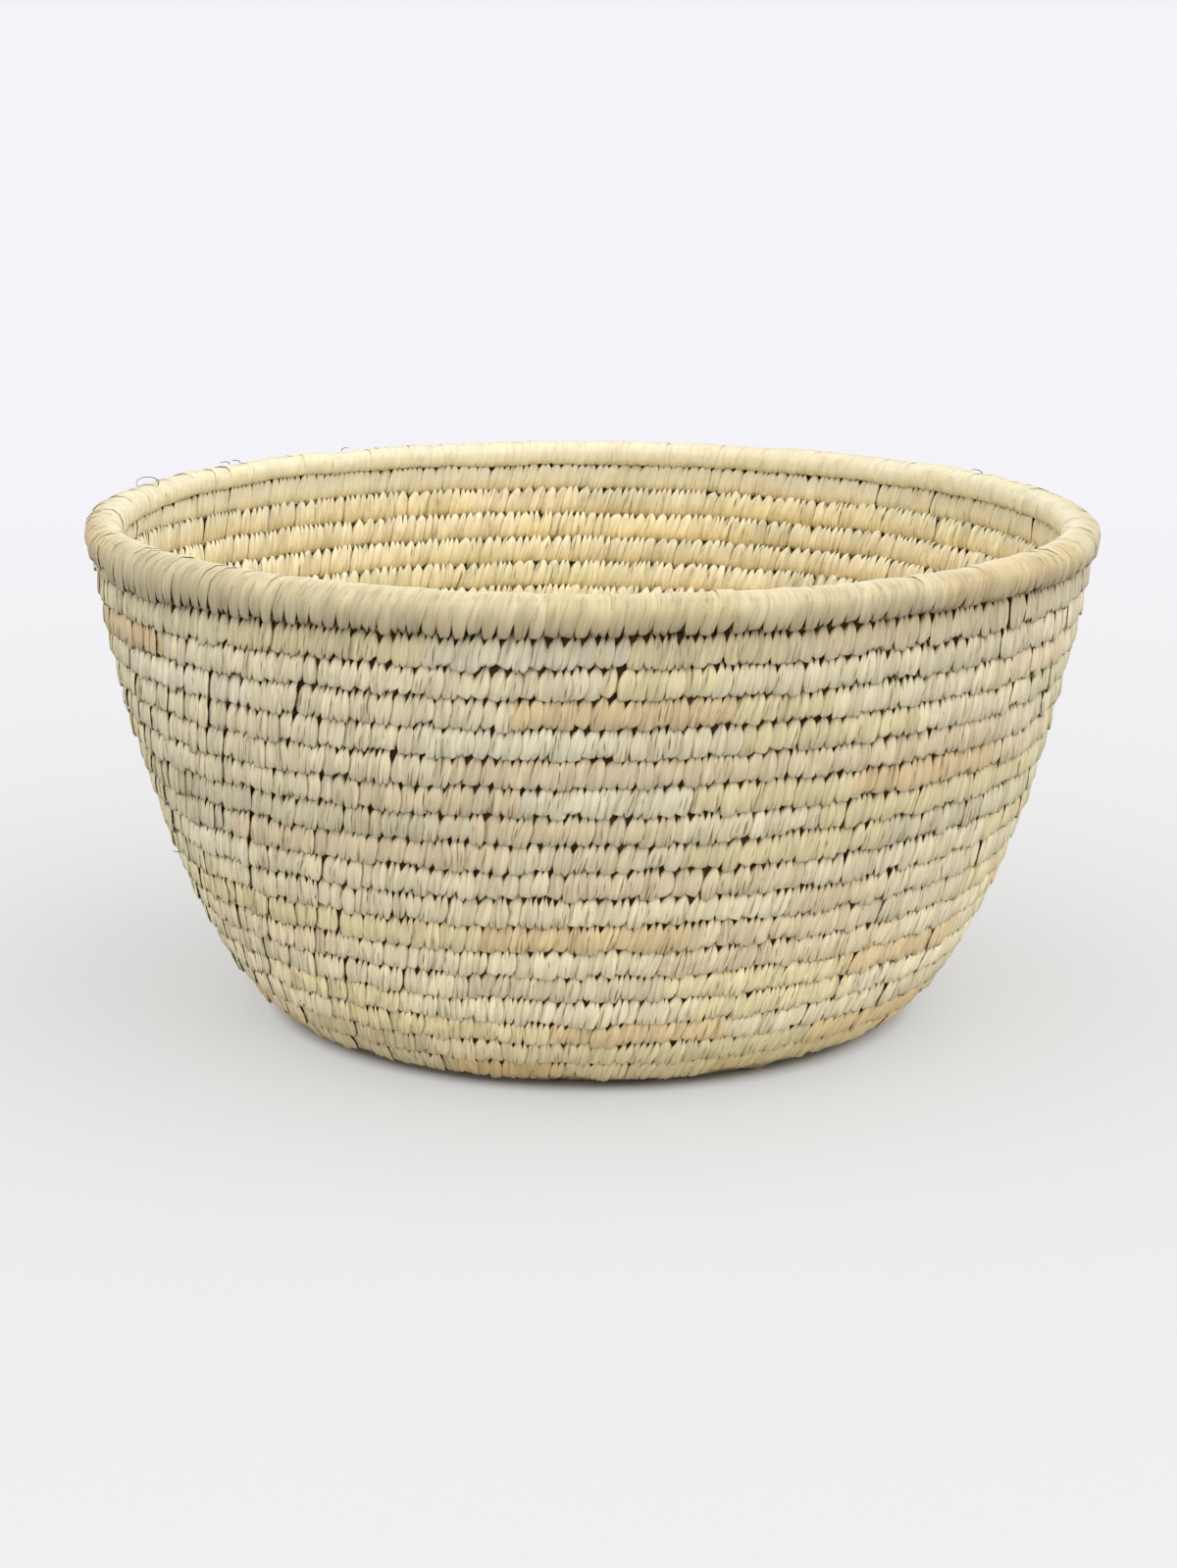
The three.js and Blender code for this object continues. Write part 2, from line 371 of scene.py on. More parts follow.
Strand = namedtuple("Strand", "middle width")
WHOLE_STRIP = (Strand(0, 1),)
SPLIT_STRIP = (Strand(-0.24, 0.58), Strand(0.25, 0.54))
SHRED_STRIP = (Strand(-0.33, 0.42), Strand(0.0, 0.4), Strand(0.33, 0.42))
LOW_STRIPS = (WHOLE_STRIP,) * 5 + (SPLIT_STRIP,) * 6 + (SHRED_STRIP,) * 4
ROW_STRIPS = (WHOLE_STRIP,) * 7 + (SPLIT_STRIP,) * 6 + (SHRED_STRIP,) * 2
RIM_STRIPS = (WHOLE_STRIP,) * 10 + (SPLIT_STRIP,) * 2

# How one kind of row is sewn: the stitch's line, its strips, the crown, the tilt that laps
# one stitch over the next, its lean outside and inside, and how loosely it is done.
Sewing = namedtuple("Sewing", "bends strips crown tilt outer_lean inner_lean looseness")


def low_sewing(sizes):
    return Sewing(
        LOW_STITCH, LOW_STRIPS, sizes.crown, sizes.lap_tilt, sizes.outer_lean, sizes.inner_lean, 1.0
    )


def base_sewing(sizes):
    return low_sewing(sizes)._replace(bends=BASE_STITCH)


def row_sewing(sizes):
    return low_sewing(sizes)._replace(bends=ROW_STITCH, strips=ROW_STRIPS)


def rim_sewing(sizes):
    return Sewing(
        RIM_STITCH,
        RIM_STRIPS,
        sizes.rim_crown,
        sizes.rim_lap_tilt,
        sizes.outer_lean,
        sizes.rim_inner_lean,
        sizes.rim_looseness,
    )


def join_rings(made, rings):
    """Joins rings of points into one closed skin."""
    for here, ahead in zip(rings, rings[1:]):
        for side in range(len(here)):
            after = (side + 1) % len(here)
            made.faces.new((here[side], here[after], ahead[after], ahead[side]))
    made.faces.new(rings[0][::-1])
    made.faces.new(rings[-1])


def mesh_from(made, name):
    """A plain mesh of what has been made, which is then let go."""
    mesh = bpy.data.meshes.new(name)
    made.to_mesh(mesh)
    made.free()
    return mesh


class StitchShape:
    """One stitch: a strip of leaf bent over the coil, crowned across its width."""

    def __init__(self, sewing, spot, spacing, stitch_sizes, chance):
        self.half_height = spot.half_height
        self.half_thickness = spot.half_thickness
        self.spacing = spacing
        self.crown = sewing.crown * chance.uniform(*CROWN_RANGE)
        self.tilt = -math.tan(sewing.tilt) * chance.uniform(*TILT_RANGE)
        self.outer_slant = math.tan(sewing.outer_lean)
        self.inner_slant = math.tan(sewing.inner_lean)
        self.skew = chance.uniform(-SKEW, SKEW) * spacing * sewing.looseness
        reach = chance.uniform(-REACH, REACH) * sewing.looseness
        self.ragged = [reach + chance.uniform(-RAG, RAG) for _ in ACROSS]
        self.folds = [chance.uniform(*FOLD_RANGE) for _ in ACROSS]
        self.splay = math.tan(stitch_sizes.splay) * sewing.looseness
        self.chance = chance
        pinch = chance.uniform(-PINCH, PINCH) * sewing.looseness
        self.line = [self.varied(bend, pinch, sewing.looseness, chance) for bend in sewing.bends]
        self.top = max(range(len(self.line)), key=lambda i: sewing.bends[i].rise)

    @staticmethod
    def varied(bend, pinch, looseness, chance):
        """The same bend in another stitch: narrow places differ the most in width."""
        rise = bend.rise + chance.uniform(-BEND_STRAY.rise, BEND_STRAY.rise) * looseness
        out = bend.out + chance.uniform(-BEND_STRAY.out, BEND_STRAY.out) * looseness
        width = bend.width * chance.uniform(1 - BEND_STRAY.width, 1 + BEND_STRAY.width)
        width *= 1 + pinch * max(0, 1 - bend.width)
        return Bend(rise, out, width, bend.crown)

    def drift(self, i):
        """How far the strip has moved along the coil at a point of its line."""
        rise = self.line[i].rise * self.half_height
        top = self.line[self.top].rise * self.half_height
        if i <= self.top:
            return -rise * self.outer_slant + self.skew * (1 - i / self.top)
        return -top * self.outer_slant - (top - rise) * self.inner_slant

    def middle(self, i):
        bend = self.line[i]
        return Vector((self.drift(i), bend.out * self.half_thickness, bend.rise * self.half_height))

    def reached(self):
        """How far along the strip each bend lies, from where it goes over the coil."""
        lengths = [0.0]
        for i in range(1, len(self.line)):
            lengths.append(lengths[-1] + (self.middle(i) - self.middle(i - 1)).length)
        return [each - lengths[self.top] for each in lengths]

    def facing(self, i):
        """The way out of the strip at a point of its line."""
        before = self.line[max(i - 1, 0)]
        after = self.line[min(i + 1, len(self.line) - 1)]
        rise = (after.rise - before.rise) * self.half_height
        out = (after.out - before.out) * self.half_thickness
        return Vector((0, rise, -out)).normalized()

    def add_strand(self, mesh, strand):
        """Adds one closed strip. x runs back along the coil, y out of the wall and z up it."""
        uv = mesh.loops.layers.uv.verify()
        edge_layer = mesh.verts.layers.float["edge"]
        rows, places = [], {}
        splay = self.chance.uniform(-self.splay, self.splay) * (1 - strand.width)
        reached = self.reached()
        for i, bend in enumerate(self.line):
            width = bend.width * self.spacing
            spread = max(bend.width, LEAST_SPREAD) * self.spacing
            middle = self.middle(i)
            torn = self.half_height if i in RAGGED_END else 0.0
            # The tucked-in end of the strip, like its long edges, is marked for painted shade
            end_shade = END_PAINTED_SHADE[i] if i < len(END_PAINTED_SHADE) else 0.0
            row = []
            for across, rag, fold in zip(ACROSS, self.ragged, self.folds):
                aside = spread * strand.middle + width * across * strand.width / 2 + splay * middle.z
                drop = self.crown * bend.crown * (across**4 + fold) * strand.width - self.tilt * aside
                vertex = mesh.verts.new(middle + Vector((aside, 0, rag * torn)) - self.facing(i) * drop)
                vertex[edge_layer] = max(abs(across), end_shade)
                places[vertex] = (aside, reached[i])
                row.append(vertex)
            rows.append(row)
        upper = []
        under = [mesh.faces.new(rows[0]), mesh.faces.new(rows[-1][::-1])]
        for low, high in zip(rows, rows[1:]):
            for j in range(len(ACROSS) - 1):
                upper.append(mesh.faces.new((low[j], high[j], high[j + 1], low[j + 1])))
            under.append(mesh.faces.new((low[0], low[-1], high[-1], high[0])))
        for face in upper + under:
            for loop in face.loops:
                loop[uv].uv = places[loop.vert]
        creases = [j for j in range(1, len(ACROSS) - 1) if self.chance.random() < CREASED]
        sharp = [mesh.edges.get((low[j], high[j])) for low, high in zip(rows, rows[1:]) for j in creases]
        for edge in sharp + [edge for face in under for edge in face.edges]:
            edge.smooth = False

    def mesh(self, name, strands):
        made = bmesh.new()
        made.loops.layers.uv.new("strip")
        made.verts.layers.float.new("edge")
        for strand in strands:
            self.add_strand(made, strand)
        return mesh_from(made, name)


def stitch_set(name, sewing, spot, spacing, stitch_sizes):
    """A collection of stitches that differ a little, for one part of the basket."""
    chance = random.Random(stitch_sizes.seed)
    made = bpy.data.collections.new(name)
    bpy.context.scene.collection.children.link(made)
    for number, strands in enumerate(sewing.strips):
        shape = StitchShape(sewing, spot, spacing, stitch_sizes, chance)
        label = f"{name}_{number:02d}"
        made.objects.link(bpy.data.objects.new(label, shape.mesh(label, strands)))
    return made


def drop_set(made):
    """Removes a set of stitches once it has been sewn with."""
    for thing in list(made.objects):
        mesh = thing.data
        bpy.data.objects.remove(thing)
        bpy.data.meshes.remove(mesh)
    bpy.data.collections.remove(made)


# Nodes

HALVES = (0.5, 0.5, 0.5)
MINUS_HALVES = (-0.5, -0.5, -0.5)
SEED_STEP = 500.0


def add_node(tree, kind, inputs=None, output=0, **settings):
    """Adds a node with its settings, gives its inputs values or links, and returns an output."""
    made = tree.nodes.new(kind)
    for name, value in settings.items():
        setattr(made, name, value)
    for key, value in (inputs or {}).items():
        if isinstance(value, bpy.types.NodeSocket):
            tree.links.new(value, made.inputs[key])
        else:
            made.inputs[key].default_value = value
    return made.outputs[output] if made.outputs else None


def node_tree(name, inputs, output):
    """A geometry node tree with named inputs and nothing in it yet."""
    tree = bpy.data.node_groups.new(name, "GeometryNodeTree")
    for label, kind in inputs.items():
        tree.interface.new_socket(label, in_out="INPUT", socket_type=kind)
    tree.interface.new_socket(output, in_out="OUTPUT", socket_type="NodeSocketGeometry")
    return tree


def by_hand(tree, shape, wobble, wobble_size):
    """Moves a shape a little out of true, and alike wherever pieces touch."""
    place = add_node(tree, "GeometryNodeInputPosition")
    scale = add_node(tree, "ShaderNodeMath", {0: 1.0, 1: wobble_size}, operation="DIVIDE")
    waves = {"Vector": place, "Scale": scale, "Detail": 2.0}
    noise = add_node(tree, "ShaderNodeTexNoise", waves, output="Color")
    centred = add_node(tree, "ShaderNodeVectorMath", {0: noise, 1: HALVES}, operation="SUBTRACT")
    offset = add_node(tree, "ShaderNodeVectorMath", {0: centred, "Scale": wobble}, operation="SCALE")
    return add_node(tree, "GeometryNodeSetPosition", {"Geometry": shape, "Offset": offset})


def finish_tree(tree, shape, leaf):
    """Ends a tree with real faces in their material."""
    real = add_node(tree, "GeometryNodeRealizeInstances", {0: shape})
    dressed = add_node(tree, "GeometryNodeSetMaterial", {"Geometry": real, "Material": leaf})
    add_node(tree, "NodeGroupOutput", {0: dressed})
    return tree


def bundle_tree():
    """Nodes that lay a straight-sided bundle a little out of true."""
    inputs = {
        "Bar": "NodeSocketGeometry",
        "Leaf": "NodeSocketMaterial",
        "Wobble": "NodeSocketFloat",
        "Wobble Size": "NodeSocketFloat",
    }
    tree = node_tree("Leaf Bundle", inputs, "Laid Bar")
    given = add_node(tree, "NodeGroupInput").node.outputs
    laid = by_hand(tree, given["Bar"], given["Wobble"], given["Wobble Size"])
    return finish_tree(tree, laid, given["Leaf"])


def stitch_tree():
    """Nodes that sew a stitch at every point of the coil, each a little different."""
    inputs = {
        "Coil Points": "NodeSocketGeometry",
        "Stitch Set": "NodeSocketCollection",
        "Last Kind": "NodeSocketInt",
        "Leaf": "NodeSocketMaterial",
        "Width Range": "NodeSocketFloat",
        "Lean Range": "NodeSocketFloat",
        "Strip Length": "NodeSocketFloat",
        "Stray Range": "NodeSocketFloat",
        "Wobble": "NodeSocketFloat",
        "Wobble Size": "NodeSocketFloat",
        "Seed": "NodeSocketInt",
    }
    tree = node_tree("Leaf Stitches", inputs, "Sewn Row")
    given = add_node(tree, "NodeGroupInput").node.outputs

    # One strip of leaf makes several stitches, which share its tone
    run = add_node(tree, "GeometryNodeInputNamedAttribute", {"Name": "run"}, data_type="FLOAT")
    strip = add_node(tree, "ShaderNodeMath", {0: run, 1: given["Strip Length"]}, operation="DIVIDE")
    cells = {"W": strip, "Scale": 1.0}
    cell = add_node(tree, "ShaderNodeTexVoronoi", cells, output="Color", voronoi_dimensions="1D")
    tone = add_node(tree, "FunctionNodeSeparateColor", {"Color": cell})

    # What differs from stitch to stitch: shade, lean and width, and how far it strays
    other_seed = add_node(tree, "ShaderNodeMath", {0: given["Seed"], 1: SEED_STEP}, operation="ADD")
    draws, aside = [
        add_node(
            tree,
            "FunctionNodeRandomValue",
            {0: MINUS_HALVES, 1: HALVES, "Seed": seed},
            data_type="FLOAT_VECTOR",
        )
        for seed in (given["Seed"], other_seed)
    ]
    drawn = add_node(tree, "ShaderNodeSeparateXYZ", {0: draws}).node.outputs
    shade = add_node(tree, "ShaderNodeMath", {0: drawn[0], 1: 0.5}, operation="ADD")
    lean = add_node(tree, "ShaderNodeMath", {0: drawn[1], 1: given["Lean Range"]}, operation="MULTIPLY")
    widened = {0: drawn[2], 1: given["Width Range"], 2: 1.0}
    width = add_node(tree, "ShaderNodeMath", widened, operation="MULTIPLY_ADD")
    points = given["Coil Points"]
    for name, value in (("tone", tone), ("shade", shade)):
        stored = {"Geometry": points, "Name": name, "Value": value}
        points = add_node(tree, "GeometryNodeStoreNamedAttribute", stored, data_type="FLOAT")

    # Where each stitch goes, and which kind it is
    strayed = {0: aside, "Scale": given["Stray Range"]}
    stray = add_node(tree, "ShaderNodeVectorMath", strayed, operation="SCALE")
    points = add_node(tree, "GeometryNodeSetPosition", {"Geometry": points, "Offset": stray})
    kinds = {4: 0, 5: given["Last Kind"], "Seed": other_seed}
    kind = add_node(tree, "FunctionNodeRandomValue", kinds, output=2, data_type="INT")
    up, out, fit = [
        add_node(tree, "GeometryNodeInputNamedAttribute", {"Name": name}, data_type="FLOAT_VECTOR")
        for name in ("up", "out", "fit")
    ]
    upright = add_node(
        tree, "FunctionNodeAxesToRotation", {0: up, 1: out}, primary_axis="Z", secondary_axis="Y"
    )
    tip = add_node(tree, "FunctionNodeAxisAngleToRotation", {"Axis": (0, 1, 0), "Angle": lean})
    turned = add_node(tree, "FunctionNodeRotateRotation", {0: upright, 1: tip}, rotation_space="LOCAL")
    stretch = add_node(tree, "ShaderNodeCombineXYZ", {0: width, 1: 1.0, 2: 1.0})
    size = add_node(tree, "ShaderNodeVectorMath", {0: fit, 1: stretch}, operation="MULTIPLY")
    stitches = add_node(
        tree,
        "GeometryNodeCollectionInfo",
        {"Collection": given["Stitch Set"], "Separate Children": True, "Reset Children": True},
    )
    placed = {
        "Points": points,
        "Instance": stitches,
        "Pick Instance": True,
        "Instance Index": kind,
        "Rotation": turned,
        "Scale": size,
    }
    sewn = add_node(tree, "GeometryNodeInstanceOnPoints", placed)
    real = add_node(tree, "GeometryNodeRealizeInstances", {0: sewn})
    moved = by_hand(tree, real, given["Wobble"], given["Wobble Size"])
    smooth = add_node(tree, "GeometryNodeSetShadeSmooth", {"Geometry": moved})
    return finish_tree(tree, smooth, given["Leaf"])


def settled_mesh(piece, tree, values):
    """The plain mesh that a node tree makes of an object, with the tree's inputs set."""
    nodes = piece.modifiers.new(tree.name, "NODES")
    nodes.node_group = tree
    for socket in tree.interface.items_tree:
        if socket.in_out == "INPUT" and socket.name in values:
            nodes[socket.identifier] = values[socket.name]
    graph = bpy.context.evaluated_depsgraph_get()
    mesh = bpy.data.meshes.new_from_object(
        piece.evaluated_get(graph), preserve_all_data_layers=True, depsgraph=graph
    )
    piece.modifiers.remove(nodes)
    raw = piece.data
    piece.data = mesh
    bpy.data.meshes.remove(raw)
    mesh.name = piece.name
    return mesh


def coil_points(name, coil, turn, spacing, model):
    """A point for each stitch of a turn, with the coil's directions and sizes there."""
    count = round(FULL_TURN * coil.radius(turn) / spacing)
    spots = [coil.spot(turn, (i + 0.5) / count) for i in range(count)]
    start = sum(FULL_TURN * coil.radius(earlier) for earlier in range(turn))
    mesh = bpy.data.meshes.new(name)
    mesh.from_pydata([spot.centre for spot in spots], [], [])
    vectors = {
        "up": [spot.up for spot in spots],
        "out": [spot.out for spot in spots],
        "fit": [
            (1, spot.half_thickness / model.half_thickness, spot.half_height / model.half_height)
            for spot in spots
        ],
    }
    for label, values in vectors.items():
        layer = mesh.attributes.new(label, "FLOAT_VECTOR", "POINT")
        layer.data.foreach_set("vector", [number for value in values for number in value])
    run = mesh.attributes.new("run", "FLOAT", "POINT")
    run.data.foreach_set("value", [start + (i + 0.5) * spacing for i in range(count)])
    return mesh


def sew_turn(node, coil, turn, spacing, model, sewing, stitch_sizes):
    """Sews one turn of the coil and puts it in place of its frame node."""
    stitches = stitch_set("stitch", sewing, model, spacing, stitch_sizes)
    piece = add_piece(node + "_stitches", coil_points(node, coil, turn, spacing, model))
    values = {
        "Stitch Set": stitches,
        "Last Kind": len(stitches.objects) - 1,
        "Leaf": finish("Dried Palm Leaf"),
        "Width Range": 2 * stitch_sizes.width_spread * sewing.looseness,
        "Lean Range": 2 * stitch_sizes.lean_spread * sewing.looseness,
        "Strip Length": stitch_sizes.strip_length,
        "Stray Range": 2 * stitch_sizes.stray * sewing.looseness,
        "Wobble": stitch_sizes.wobble,
        "Wobble Size": stitch_sizes.wobble_size,
        "Seed": stitch_sizes.seed + turn,
    }
    tree = bpy.data.node_groups.get("Leaf Stitches") or stitch_tree()
    mesh = settled_mesh(piece, tree, values)
    drop_set(stitches)
    for label in ("up", "out", "fit", "run"):
        mesh.attributes.remove(mesh.attributes[label])
    return set_in_place(piece, node)


def set_in_place(piece, node):
    """Rides the piece on the basket and hides the frame node that it stands for."""
    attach(piece, BODY)
    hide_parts(node)
    return piece


def add_piece(name, mesh):
    piece = bpy.data.objects.new(name, mesh)
    bpy.context.scene.collection.objects.link(piece)
    return piece


# Materials

LEAF_IOR = 1.45
STAIN_SIZE = 0.006
THREAD_SIZE = 0.0012

# A grain along a strip: its width and length, its finer detail, and its depth.
Grain = namedtuple("Grain", "width length detail depth")
FIBRES = Grain(0.0007, 0.009, 2.0, 0.00025)  # drawn coarse, so that they show
FOLDS = Grain(0.0016, 0.012, 1.0, 0.0011)
GRAIN_SPREAD = 97.0  # keeps the grain of one stitch apart from that of the next

# The tones of the strips, each from its place among all strips up to the next one's.
LEAF_TONES = (
    (0.00, "cream"),
    (0.26, "straw"),
    (0.44, "sage"),
    (0.58, "rose"),
    (0.67, "grey"),
    (0.78, "tan"),
    (0.85, "cream"),
    (0.965, "pale"),
)

# A change in the leaf: what it follows, from where to where, and its values at both. Along is
# how far a strip has come over the coil, in metres, negative outside the basket. Level is the
# height above the table.
Change = namedtuple("Change", "of start end first last")
LEAF_CHANGES = {
    "outside": Change("along", 0.003, -0.004, 0.0, 1.0),
    # Painted shade: inside, each row turns golden towards its foot
    "sheltered": Change("along", 0.002, 0.011, 0.0, 1.0),
    # Painted shade: the rim is darker on its outer side than on its inner side
    "rim_light": Change("along", -0.004, 0.010, 0.70, 0.95),
    # Painted shade: outside, each strip darkens towards its lower end, most down the rim
    "overhung": Change("along", -0.019, -0.007, 0.62, 1.0),
    "at_rim": Change("level", 0.152, 0.162, 0.0, 1.0),
    "low_down": Change("level", 0.09, 0.03, 0.0, 1.0),
    # Golden towards the table, outside
    "rubbed": Change("level", 0.028, 0.004, 0.0, 0.5),
    "light": Change("shade", 0.0, 1.0, 0.91, 1.08),
    "streak": Change("fibres", 0.3, 0.7, 0.92, 1.06),
    "split": Change("fibres", 0.39, 0.30, 0.0, 0.85),
    "rough": Change("fibres", 0.0, 1.0, 0.42, 0.66),
    # Painted light and shade on the folds: lighter on their ridges, darker in their hollows
    "crease": Change("folds", 0.3, 0.7, 0.84, 1.12),
    "stained": Change("stains", 0.56, 0.8, 0.0, 0.4),
    # Painted shade along the long edges of each strip and at its tucked-in end
    "grimed": Change("edge", 0.8, 1.0, 0.0, 0.65),
}

# What differs between the inside of the basket and the outside. The light factors and the wall tint are
# painted light and shade.
Sides = namedtuple("Sides", "inside outside")
LEAF_SIDES = {
    # Painted light: the wall is lighter inside the basket and darker outside
    "wall_light": Sides(1.07, 0.96),
    # Painted light: low down the wall is lighter outside, standing for bounce light from the board, and
    # darker inside
    "low_light": Sides(0.86, 1.3),
    "rim_calm": Sides(0.7, 0.1),
    # The share of the inner tint, painted light and shade down each row, on the wall inside
    "wall_tint": Sides(0.44, 0.0),
    "rim_tint": Sides(0.8, 0.5),
    # How much the slits and the painted edge shade show along the rim
    "rim_lines": Sides(0.2, 0.5),
}


def strip_grain(tree, grain, strip, shade):
    """A noise drawn out along the strips, different on every stitch."""
    scale = (1 / grain.width, 1 / grain.length, 0)
    scaled = add_node(tree, "ShaderNodeVectorMath", {0: strip, 1: scale}, operation="MULTIPLY")
    own = add_node(tree, "ShaderNodeMath", {0: shade, 1: GRAIN_SPREAD}, operation="MULTIPLY")
    waves = {"Vector": scaled, "W": own, "Scale": 1.0, "Detail": grain.detail}
    return add_node(tree, "ShaderNodeTexNoise", waves, output="Fac", noise_dimensions="4D")


def leaf_changes(tree, read):
    """Works out all that changes over the leaf from what is read there."""
    made = {}
    for name, change in LEAF_CHANGES.items():
        eased = {
            "Value": read[change.of],
            "From Min": change.start,
            "From Max": change.end,
            "To Min": change.first,
            "To Max": change.last,
        }
        made[name] = add_node(tree, "ShaderNodeMapRange", eased)
    for name, side in LEAF_SIDES.items():
        eased = {"Value": made["outside"], "To Min": side.inside, "To Max": side.outside}
        made[name] = add_node(tree, "ShaderNodeMapRange", eased)
    return SimpleNamespace(**made)


def leaf_light(tree, leaf):
    """How light the leaf is, by strip and by place; by place and in the folds it is painted light and
    shade. Along the rim the strips differ less.
    """
    light = leaf.light
    # Fibre streaks, and painted light and shade on the folds
    for factor in (leaf.streak, leaf.crease):
        light = add_node(tree, "ShaderNodeMath", {0: light, 1: factor}, operation="MULTIPLY")
    calm = add_node(tree, "ShaderNodeMath", {0: leaf.rim_calm, 1: leaf.at_rim}, operation="MULTIPLY")
    light = add_node(tree, "ShaderNodeMix", {"Factor": calm, 2: light, 3: 1.0})
    sides = {"Factor": leaf.at_rim, 2: leaf.wall_light, 3: leaf.rim_light}
    # Painted light: lighter inside and darker outside, on the wall and on the rim
    painted_wall_and_rim_light = add_node(tree, "ShaderNodeMix", sides)
    # Painted light low down: lighter outside, darker inside
    painted_low_wall_light = add_node(tree, "ShaderNodeMix", {"Factor": leaf.low_down, 2: 1.0, 3: leaf.low_light})
    # Painted light and shade by place, and painted shade towards the lower end of each strip
    for factor in (painted_wall_and_rim_light, painted_low_wall_light, leaf.overhung):
        light = add_node(tree, "ShaderNodeMath", {0: light, 1: factor}, operation="MULTIPLY")
    return light


def strip_tone(tree, tone, colours):
    """The colour of a whole strip, picked by chance."""
    picked = add_node(tree, "ShaderNodeValToRGB", {"Fac": tone})
    ramp = picked.node.color_ramp
    ramp.interpolation = "CONSTANT"
    while len(ramp.elements) < len(LEAF_TONES):
        ramp.elements.new(1.0)
    for stop, (start, name) in zip(ramp.elements, LEAF_TONES):
        stop.position = start
        stop.color = (*getattr(colours, name), 1)
    return picked


def leaf_colour(tree, leaf, tone, colours):
    """The colour of its strip, tinted along the rim, and inside the basket with painted light and shade:
    pale at the top of each row, golden towards its foot.
    """
    # Painted light and shade inside: pale at the top of each row, golden towards its foot
    inner = {"Factor": leaf.sheltered, 6: (*colours.pale, 1), 7: (*colours.golden_painted_shade_and_foot, 1)}
    inner_painted_light_and_shade = add_node(tree, "ShaderNodeMix", inner, output=2, data_type="RGBA")
    rim = {"Factor": leaf.outside, 6: (*colours.pale, 1), 7: (*colours.honey, 1)}
    rim_tint = add_node(tree, "ShaderNodeMix", rim, output=2, data_type="RGBA")
    tints = {"Factor": leaf.at_rim, 6: inner_painted_light_and_shade, 7: rim_tint}
    tint = add_node(tree, "ShaderNodeMix", tints, output=2, data_type="RGBA")
    shares = {"Factor": leaf.at_rim, 2: leaf.wall_tint, 3: leaf.rim_tint}
    tinted = add_node(tree, "ShaderNodeMix", shares)
    dyed = {"Factor": tinted, 6: strip_tone(tree, tone, colours), 7: tint}
    return add_node(tree, "ShaderNodeMix", dyed, output=2, data_type="RGBA")


def palm_leaf(tree):
    """Split palm leaf, dried and sewn damp: satin, with fine straight fibres along each strip. Painted
    light and shade: paler inside the basket and darker outside, lighter low down outside and darker
    low down inside, with painted shade along strip edges and ends, towards each strip's lower end
    outside, at the foot of each inner row and in the folds."""
    colours = bpy.context.scene.leaf_colours
    tone, shade, edge = [
        add_node(tree, "ShaderNodeAttribute", output="Fac", attribute_name=name)
        for name in ("tone", "shade", "edge")
    ]
    strip = add_node(tree, "ShaderNodeUVMap", uv_map="strip")
    place = add_node(tree, "ShaderNodeTexCoord", output="Object")
    fibres = strip_grain(tree, FIBRES, strip, shade)
    folds = strip_grain(tree, FOLDS, strip, shade)
    spots = {"Vector": place, "Scale": 1 / STAIN_SIZE, "Detail": 3.0}
    read = {
        "along": add_node(tree, "ShaderNodeSeparateXYZ", {0: strip}, output="Y"),
        "level": add_node(tree, "ShaderNodeSeparateXYZ", {0: place}, output="Z"),
        "stains": add_node(tree, "ShaderNodeTexNoise", spots, output="Fac"),
        "shade": shade,
        "edge": edge,
        "fibres": fibres,
        "folds": folds,
    }
    leaf = leaf_changes(tree, read)
    dry = {0: leaf_colour(tree, leaf, tone, colours), "Scale": leaf_light(tree, leaf)}
    base = add_node(tree, "ShaderNodeVectorMath", dry, operation="SCALE")
    # Slits along the fibres, and painted shade along strip edges and ends, both in the slit colour
    lined = add_node(tree, "ShaderNodeMath", {0: leaf.split, 1: leaf.grimed}, operation="MAXIMUM")
    shown = add_node(tree, "ShaderNodeMix", {"Factor": leaf.at_rim, 2: 1.0, 3: leaf.rim_lines})
    slits_and_edge_shade = add_node(tree, "ShaderNodeMath", {0: lined, 1: shown}, operation="MULTIPLY")
    # Golden towards the table, on the outside
    golden_near_table_share = add_node(tree, "ShaderNodeMath", {0: leaf.rubbed, 1: leaf.outside}, operation="MULTIPLY")
    marks = ((leaf.stained, colours.stain), (slits_and_edge_shade, colours.slit_and_edge_shade), (golden_near_table_share, colours.golden_painted_shade_and_foot))
    for factor, mark in marks:
        marked = {"Factor": factor, 6: base, 7: (*mark, 1)}
        base = add_node(tree, "ShaderNodeMix", marked, output=2, data_type="RGBA")
    creases = {"Height": folds, "Strength": 0.8, "Distance": FOLDS.depth}
    creased = add_node(tree, "ShaderNodeBump", creases)
    threads = {"Height": fibres, "Strength": 0.6, "Distance": FIBRES.depth, "Normal": creased}
    surface = {
        "Base Color": base,
        "Roughness": leaf.rough,
        "IOR": LEAF_IOR,
        "Specular IOR Level": 0.25,
        "Normal": add_node(tree, "ShaderNodeBump", threads),
    }
    return add_node(tree, "ShaderNodeBsdfPrincipled", surface)


